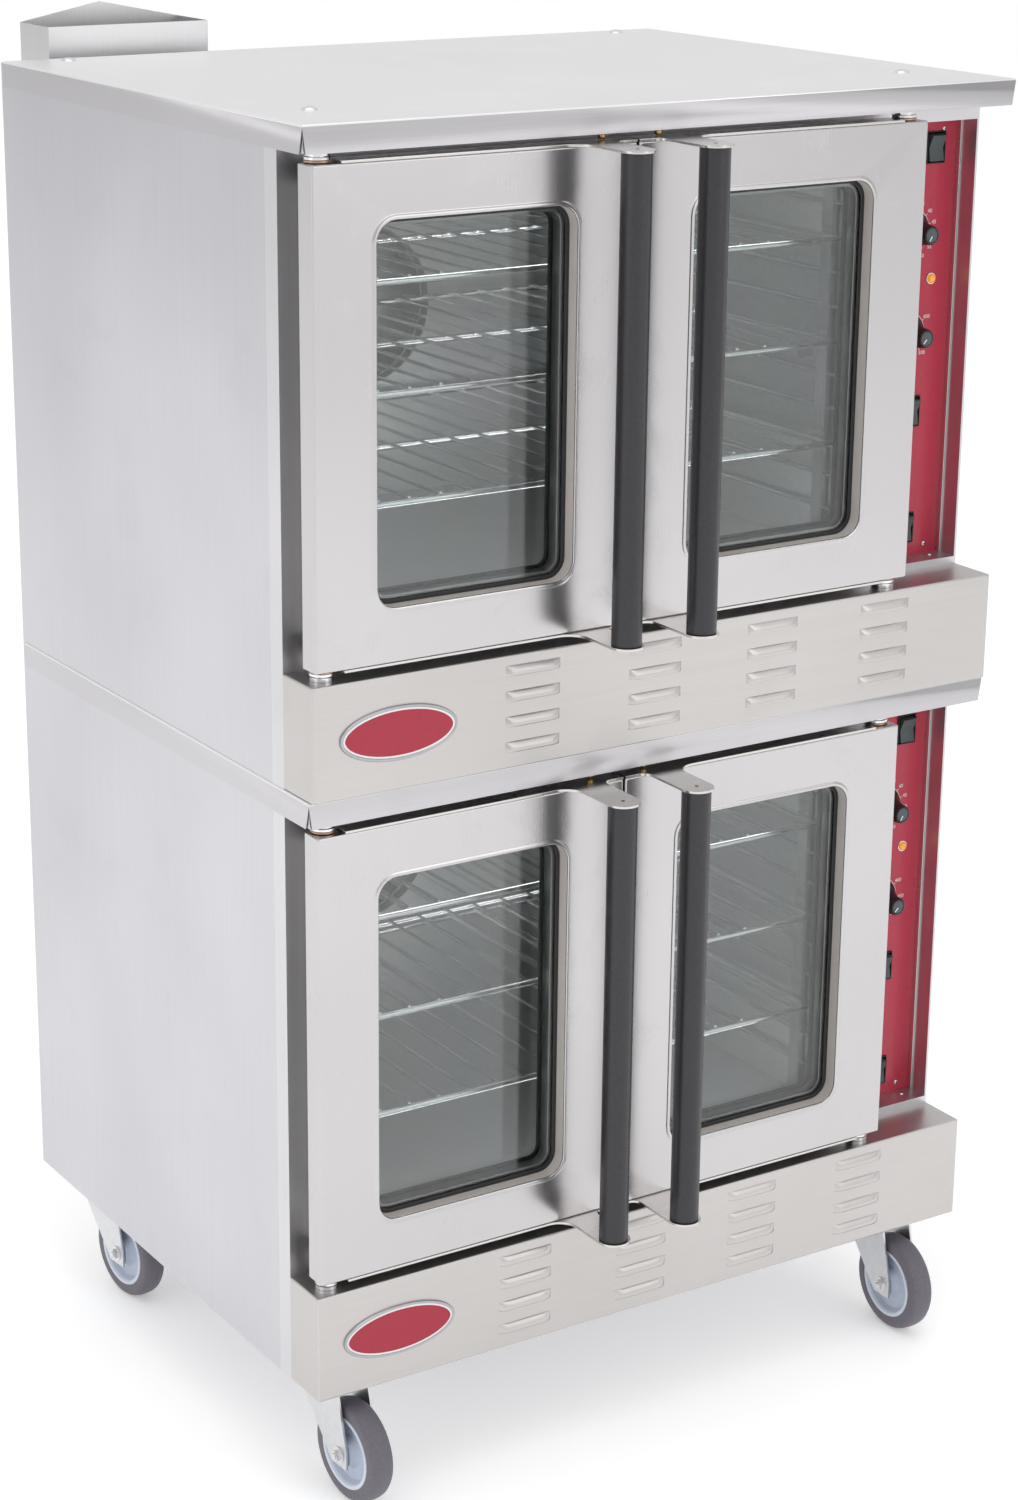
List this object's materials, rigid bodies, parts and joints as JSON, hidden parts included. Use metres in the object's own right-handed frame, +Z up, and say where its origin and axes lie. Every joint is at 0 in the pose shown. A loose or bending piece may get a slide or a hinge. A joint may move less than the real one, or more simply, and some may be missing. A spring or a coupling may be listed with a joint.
{
  "type": "double deck convection oven",
  "caption": "Double-deck convection oven on casters: glazed French doors with vertical tube handles, recessed control bays, louvred kick panels and a rear flue box.",
  "frame": {"origin": "on the floor, at the centre of the whole object's box in plan", "axes": "+X to the operator's right, +Y to the back of the oven, +Z up; the doors face -Y"},
  "size_m": [0.9686, 0.9889, 1.689],
  "materials": {
    "stainless_sheet": "brushed, vertical grain",
    "lid_sheet": "bright brushed",
    "door_skin": "polished satin",
    "rear_sheet": "galvanised sheet",
    "cavity_lining": "satin, heat dulled",
    "chrome_wire": "bright plated",
    "door_glass": "grey tinted tempered glass",
    "black_sleeve": "satin black sleeve",
    "black_plastic": "moulded black",
    "red_panel": "satin red coating",
    "badge_plate": "enamelled oval with a pale rim",
    "amber_lens": "moulded lens",
    "black_seal": "woven rope seal",
    "mineral_wool": "mineral wool blanket",
    "motor_paint": "painted motor",
    "blower_steel": "aluminised steel",
    "black_pipe": "black iron pipe",
    "zinc_steel": "zinc plated",
    "brass": "turned brass",
    "bright_plug": "domed bright plug",
    "grey_tyre": "grey non-marking tyre on a blue-grey hub"
  },
  "bodies": {
    "root": {"front_frames": "stainless_sheet", "kick_panels": "stainless_sheet", "control_panels": "red_panel", "fan_baffles": "cavity_lining", "fan_motors": "motor_paint", "door_gaskets": "black_seal", "insulation_blankets": "mineral_wool", "badges": "badge_plate", "indicator_lamps": "amber_lens", "switch_bodies": "black_plastic", "oven_racks": "chrome_wire", "rack_guides": "chrome_wire", "rear_covers": "rear_sheet", "hinge_pins": "zinc_steel", "gas_lines": "black_pipe", "flue_stack": "stainless_sheet", "lid_plugs": "bright_plug", "caster_plates": "zinc_steel", "lower_cabinet": "stainless_sheet", "lower_lid": "lid_sheet", "lower_cavity": "cavity_lining", "upper_cabinet": "stainless_sheet", "upper_lid": "lid_sheet", "upper_cavity": "cavity_lining"},
    "lower_left_door": {"lower_left_door": "door_skin", "lower_left_door_glass": "door_glass", "lower_left_handle": "black_sleeve"},
    "lower_left_catch": {"lower_left_catch": "brass"},
    "lower_right_door": {"lower_right_door": "door_skin", "lower_right_door_glass": "door_glass", "lower_right_handle": "black_sleeve"},
    "lower_right_catch": {"lower_right_catch": "brass"},
    "lower_timer_knob": {"lower_timer_knob": "black_plastic"},
    "lower_thermostat_knob": {"lower_thermostat_knob": "black_plastic"},
    "lower_mode_rocker": {"lower_mode_rocker": "black_plastic"},
    "lower_light_rocker": {"lower_light_rocker": "black_plastic"},
    "lower_speed_rocker": {"lower_speed_rocker": "black_plastic"},
    "lower_blower_wheel": {"lower_blower_wheel": "blower_steel"},
    "upper_left_door": {"upper_left_door": "door_skin", "upper_left_door_glass": "door_glass", "upper_left_handle": "black_sleeve"},
    "upper_left_catch": {"upper_left_catch": "brass"},
    "upper_right_door": {"upper_right_door": "door_skin", "upper_right_door_glass": "door_glass", "upper_right_handle": "black_sleeve"},
    "upper_right_catch": {"upper_right_catch": "brass"},
    "upper_timer_knob": {"upper_timer_knob": "black_plastic"},
    "upper_thermostat_knob": {"upper_thermostat_knob": "black_plastic"},
    "upper_mode_rocker": {"upper_mode_rocker": "black_plastic"},
    "upper_light_rocker": {"upper_light_rocker": "black_plastic"},
    "upper_speed_rocker": {"upper_speed_rocker": "black_plastic"},
    "upper_blower_wheel": {"upper_blower_wheel": "blower_steel"},
    "front_left_fork": {"front_left_fork": "zinc_steel"},
    "front_left_wheel": {"front_left_wheel": "grey_tyre"},
    "front_right_fork": {"front_right_fork": "zinc_steel"},
    "front_right_wheel": {"front_right_wheel": "grey_tyre"},
    "rear_left_fork": {"rear_left_fork": "zinc_steel"},
    "rear_left_wheel": {"rear_left_wheel": "grey_tyre"},
    "rear_right_fork": {"rear_right_fork": "zinc_steel"},
    "rear_right_wheel": {"rear_right_wheel": "grey_tyre"}
  },
  "joints": [
    {"name": "lower_left_door_hinge", "type": "hinge", "parent": "root", "child": "lower_left_door", "pos_m": [-0.456, -0.38, 0.2995], "axis": [0, 0, -1], "range_deg": [0, 130]},
    {"name": "lower_left_catch_plunge", "type": "slide", "parent": "root", "child": "lower_left_catch", "axis": [0, 0, 1], "range_m": [0, 0.005], "stiffness_N_per_m": 300, "springref_m": -0.001},
    {"name": "lower_right_door_hinge", "type": "hinge", "parent": "root", "child": "lower_right_door", "pos_m": [0.332, -0.38, 0.2995], "axis": [0, 0, 1], "range_deg": [0, 130]},
    {"name": "lower_right_catch_plunge", "type": "slide", "parent": "root", "child": "lower_right_catch", "axis": [0, 0, 1], "range_m": [0, 0.005], "stiffness_N_per_m": 300, "springref_m": -0.001},
    {"name": "lower_timer_knob_turn", "type": "hinge", "parent": "root", "child": "lower_timer_knob", "pos_m": [0.4135, -0.306, 0.704], "axis": [0, 1, 0], "range_deg": [0, 300]},
    {"name": "lower_thermostat_knob_turn", "type": "hinge", "parent": "root", "child": "lower_thermostat_knob", "pos_m": [0.4135, -0.306, 0.578], "axis": [0, 1, 0], "range_deg": [0, 270]},
    {"name": "lower_mode_rocker_rock", "type": "hinge", "parent": "root", "child": "lower_mode_rocker", "pos_m": [0.4445, -0.306, 0.804], "axis": [-1, 0, 0], "range_deg": [0, 16]},
    {"name": "lower_light_rocker_rock", "type": "hinge", "parent": "root", "child": "lower_light_rocker", "pos_m": [0.4245, -0.306, 0.48], "axis": [-1, 0, 0], "range_deg": [0, 16]},
    {"name": "lower_speed_rocker_rock", "type": "hinge", "parent": "root", "child": "lower_speed_rocker", "pos_m": [0.4235, -0.306, 0.3315], "axis": [-1, 0, 0], "range_deg": [0, 16]},
    {"name": "lower_blower_wheel_spin", "type": "hinge", "parent": "root", "child": "lower_blower_wheel", "pos_m": [-0.062, 0.2885, 0.575], "axis": [0, 1, 0], "continuous": true},
    {"name": "upper_left_door_hinge", "type": "hinge", "parent": "root", "child": "upper_left_door", "pos_m": [-0.456, -0.38, 1.04], "axis": [0, 0, -1], "range_deg": [0, 130]},
    {"name": "upper_left_catch_plunge", "type": "slide", "parent": "root", "child": "upper_left_catch", "axis": [0, 0, 1], "range_m": [0, 0.005], "stiffness_N_per_m": 300, "springref_m": -0.001},
    {"name": "upper_right_door_hinge", "type": "hinge", "parent": "root", "child": "upper_right_door", "pos_m": [0.332, -0.38, 1.04], "axis": [0, 0, 1], "range_deg": [0, 130]},
    {"name": "upper_right_catch_plunge", "type": "slide", "parent": "root", "child": "upper_right_catch", "axis": [0, 0, 1], "range_m": [0, 0.005], "stiffness_N_per_m": 300, "springref_m": -0.001},
    {"name": "upper_timer_knob_turn", "type": "hinge", "parent": "root", "child": "upper_timer_knob", "pos_m": [0.4135, -0.306, 1.4445], "axis": [0, 1, 0], "range_deg": [0, 300]},
    {"name": "upper_thermostat_knob_turn", "type": "hinge", "parent": "root", "child": "upper_thermostat_knob", "pos_m": [0.4135, -0.306, 1.3185], "axis": [0, 1, 0], "range_deg": [0, 270]},
    {"name": "upper_mode_rocker_rock", "type": "hinge", "parent": "root", "child": "upper_mode_rocker", "pos_m": [0.4445, -0.306, 1.5445], "axis": [-1, 0, 0], "range_deg": [0, 16]},
    {"name": "upper_light_rocker_rock", "type": "hinge", "parent": "root", "child": "upper_light_rocker", "pos_m": [0.4245, -0.306, 1.2205], "axis": [-1, 0, 0], "range_deg": [0, 16]},
    {"name": "upper_speed_rocker_rock", "type": "hinge", "parent": "root", "child": "upper_speed_rocker", "pos_m": [0.4235, -0.306, 1.072], "axis": [-1, 0, 0], "range_deg": [0, 16]},
    {"name": "upper_blower_wheel_spin", "type": "hinge", "parent": "root", "child": "upper_blower_wheel", "pos_m": [-0.062, 0.2885, 1.3155], "axis": [0, 1, 0], "continuous": true},
    {"name": "front_left_swivel", "type": "hinge", "parent": "root", "child": "front_left_fork", "pos_m": [-0.4255, -0.348, 0.148], "axis": [0, 0, 1], "continuous": true},
    {"name": "front_left_roll", "type": "hinge", "parent": "front_left_fork", "child": "front_left_wheel", "pos_m": [-0.42252, -0.38588, 0.0635], "axis": [0.9969, 0.0785, 0], "continuous": true},
    {"name": "front_right_swivel", "type": "hinge", "parent": "root", "child": "front_right_fork", "pos_m": [0.4065, -0.348, 0.148], "axis": [0, 0, 1], "continuous": true},
    {"name": "front_right_roll", "type": "hinge", "parent": "front_right_fork", "child": "front_right_wheel", "pos_m": [0.40551, -0.38599, 0.0635], "axis": [0.9997, -0.0262, 0], "continuous": true},
    {"name": "rear_left_swivel", "type": "hinge", "parent": "root", "child": "rear_left_fork", "pos_m": [-0.4255, 0.2605, 0.148], "axis": [0, 0, 1], "continuous": true},
    {"name": "rear_left_roll", "type": "hinge", "parent": "rear_left_fork", "child": "rear_left_wheel", "pos_m": [-0.4212, 0.22274, 0.0635], "axis": [0.9936, 0.1132, 0], "continuous": true},
    {"name": "rear_right_swivel", "type": "hinge", "parent": "root", "child": "rear_right_fork", "pos_m": [0.4065, 0.2605, 0.148], "axis": [0, 0, 1], "continuous": true},
    {"name": "rear_right_roll", "type": "hinge", "parent": "rear_right_fork", "child": "rear_right_wheel", "pos_m": [0.40319, 0.22265, 0.0635], "axis": [0.9962, -0.0872, 0], "continuous": true}
  ]
}
